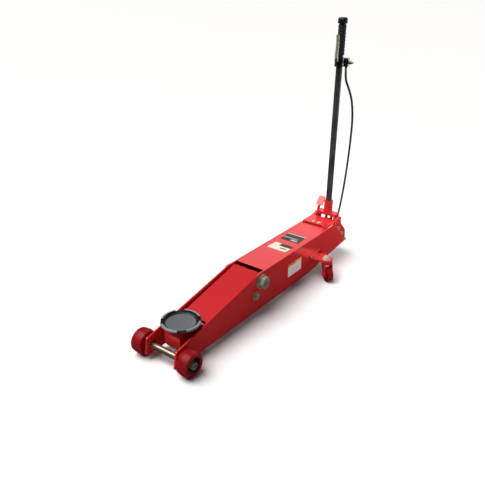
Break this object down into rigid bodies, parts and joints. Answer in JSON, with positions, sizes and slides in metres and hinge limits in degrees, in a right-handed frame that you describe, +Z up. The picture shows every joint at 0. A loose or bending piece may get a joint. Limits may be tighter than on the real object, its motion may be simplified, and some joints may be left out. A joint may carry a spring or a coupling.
{
  "type": "hydraulic floor jack",
  "caption": "Long low hydraulic floor jack: wheeled plate chassis, lifting arm with a round swivel saddle, swivel casters, upright pump handle with an air valve and hose.",
  "frame": {"origin": "on the floor, under the middle of the jack's length and width", "axes": "+X towards the saddle and the front wheels, +Y to the jack's left, +Z up"},
  "size_m": [1.5731, 0.4696, 1.3273],
  "materials": {
    "red_enamel": "gloss",
    "red_wheel": "semi-gloss",
    "zinc_steel": "satin",
    "bright_steel": "satin",
    "chrome_rod": "polished",
    "saddle_plate": "satin",
    "cast_block": "matte",
    "cast_aluminium": "satin",
    "black_enamel": "satin",
    "black_rubber": "matte",
    "black_plastic": "matte",
    "spring_wire": "satin"
  },
  "bodies": {
    "chassis": {"side_plate_left": "red_enamel", "side_plate_right": "red_enamel", "front_axle": "bright_steel", "axle_collars": "red_enamel", "axle_washers": "zinc_steel", "axle_nuts": "zinc_steel", "frame_tie_bars": "red_enamel", "pivot_shaft": "bright_steel", "pivot_washers": "zinc_steel", "pivot_nuts": "zinc_steel", "split_pins": "zinc_steel", "link_anchor_bolts": "zinc_steel", "top_cover": "red_enamel", "deck_bolts": "zinc_steel", "cylinder_cradles": "red_enamel", "oil_tank": "red_enamel", "cylinder_barrel": "bright_steel", "cylinder_gland": "bright_steel", "pump_block": "cast_block", "air_motor": "cast_aluminium", "caster_brackets": "red_enamel", "kingpins": "zinc_steel", "yoke_bracket": "red_enamel", "tail_brace": "red_enamel", "rear_bolts": "zinc_steel", "yoke_pins": "bright_steel", "release_cable": "black_rubber", "return_springs": "spring_wire", "pump_spring": "spring_wire"},
    "front_wheel_left": {"front_wheel_left": "red_wheel"},
    "front_wheel_right": {"front_wheel_right": "red_wheel"},
    "lift_arm": {"lift_arm_cheeks": "red_enamel", "lift_arm_top_plate": "red_enamel", "arm_pivot_tube": "red_enamel", "lift_cranks": "red_enamel", "crank_pin": "bright_steel", "saddle_bracket_pin": "bright_steel"},
    "saddle_bracket": {"saddle_bracket": "red_enamel", "link_front_pin": "bright_steel"},
    "saddle": {"saddle": "saddle_plate"},
    "radius_rods": {"radius_rods": "red_enamel"},
    "ram": {"ram_rod": "chrome_rod", "ram_piston": "bright_steel", "ram_crosshead": "bright_steel"},
    "handle": {"handle_yoke": "red_enamel", "handle_tube": "black_enamel", "handle_grip": "black_rubber", "air_valve": "cast_aluminium", "foot_pedal": "red_enamel", "hose_elbow": "zinc_steel", "air_hose": "black_rubber"},
    "pump_roller": {"pump_roller": "bright_steel"},
    "pump_plunger": {"pump_plunger": "bright_steel"},
    "release_knob": {"release_knob": "black_plastic"},
    "release_valve": {"release_valve": "bright_steel"},
    "air_lever": {"air_lever": "zinc_steel"},
    "caster_left": {"caster_fork_left": "red_enamel"},
    "caster_right": {"caster_fork_right": "red_enamel"},
    "caster_wheel_left": {"caster_wheel_left": "red_wheel"},
    "caster_wheel_right": {"caster_wheel_right": "red_wheel"}
  },
  "joints": [
    {"name": "front_wheel_left_spin", "type": "hinge", "parent": "chassis", "child": "front_wheel_left", "pos_m": [0.6951, 0.1345, 0.06], "axis": [0, 1, 0], "continuous": true},
    {"name": "front_wheel_right_spin", "type": "hinge", "parent": "chassis", "child": "front_wheel_right", "pos_m": [0.6951, -0.1345, 0.06], "axis": [0, 1, 0], "continuous": true},
    {"name": "lift", "type": "hinge", "parent": "chassis", "child": "lift_arm", "pos_m": [0.1121, 0, 0.176], "axis": [0, -1, 0], "range_deg": [0, 58], "stiffness_Nm_per_rad": 10, "springref_deg": -57.3, "deforming": ["return_springs"]},
    {"name": "saddle_level", "type": "hinge", "parent": "lift_arm", "child": "saddle_bracket", "pos_m": [0.5351, 0, 0.118], "axis": [0, 1, 0], "range_deg": [0, 58]},
    {"name": "saddle_swivel", "type": "hinge", "parent": "saddle_bracket", "child": "saddle", "pos_m": [0.5941, 0, 0.159], "axis": [0, 0, 1], "continuous": true},
    {"name": "levelling_rods", "type": "hinge", "parent": "chassis", "child": "radius_rods", "pos_m": [0.1631, 0, 0.118], "axis": [0, -1, 0], "range_deg": [0, 58]},
    {"name": "ram_stroke", "type": "slide", "parent": "chassis", "child": "ram", "axis": [1, 0, 0], "range_m": [0, 0.09696]},
    {"name": "pump", "type": "hinge", "parent": "chassis", "child": "handle", "pos_m": [-0.6849, 0, 0.226], "axis": [0, -1, 0], "range_deg": [0, 60], "stiffness_Nm_per_rad": 14, "springref_deg": -24.06, "deforming": ["pump_spring", "release_cable"]},
    {"name": "plunger_stroke", "type": "slide", "parent": "chassis", "child": "pump_plunger", "axis": [1, 0, 0], "range_m": [0, 0.032]},
    {"name": "roller_spin", "type": "hinge", "parent": "handle", "child": "pump_roller", "pos_m": [-0.7009, 0, 0.19829], "axis": [0, 1, 0], "continuous": true},
    {"name": "release_turn", "type": "hinge", "parent": "handle", "child": "release_knob", "pos_m": [-0.7041, 0, 1.32583], "axis": [-0.0175, 0, 0.9998], "range_deg": [0, 90]},
    {"name": "valve_turn", "type": "hinge", "parent": "chassis", "child": "release_valve", "pos_m": [-0.5949, -0.036, 0.11], "axis": [-1, 0, 0], "range_deg": [0, 90]},
    {"name": "air_trigger", "type": "hinge", "parent": "handle", "child": "air_lever", "pos_m": [-0.66447, 0, 1.11849], "axis": [0, -1, 0], "range_deg": [0, 8], "stiffness_Nm_per_rad": 2, "springref_deg": -5.73},
    {"name": "caster_left_swivel", "type": "hinge", "parent": "chassis", "child": "caster_left", "pos_m": [-0.3879, 0.17, 0.1], "axis": [0, 0, 1], "continuous": true},
    {"name": "caster_right_swivel", "type": "hinge", "parent": "chassis", "child": "caster_right", "pos_m": [-0.3879, -0.17, 0.1], "axis": [0, 0, 1], "continuous": true},
    {"name": "caster_wheel_left_spin", "type": "hinge", "parent": "caster_left", "child": "caster_wheel_left", "pos_m": [-0.37069, 0.19457, 0.04], "axis": [-0.8192, 0.5736, 0], "continuous": true},
    {"name": "caster_wheel_right_spin", "type": "hinge", "parent": "caster_right", "child": "caster_wheel_right", "pos_m": [-0.37069, -0.19457, 0.04], "axis": [0.8192, 0.5736, 0], "continuous": true}
  ],
  "couplings": [
    {"joint": "saddle_level", "follows": "lift", "ratio": 1},
    {"joint": "levelling_rods", "follows": "lift", "ratio": 1},
    {"joint": "ram_stroke", "follows": "lift", "m_per_rad": 0.095784},
    {"joint": "plunger_stroke", "follows": "pump", "m_per_rad": 0.030558},
    {"joint": "valve_turn", "follows": "release_turn", "ratio": 1}
  ]
}
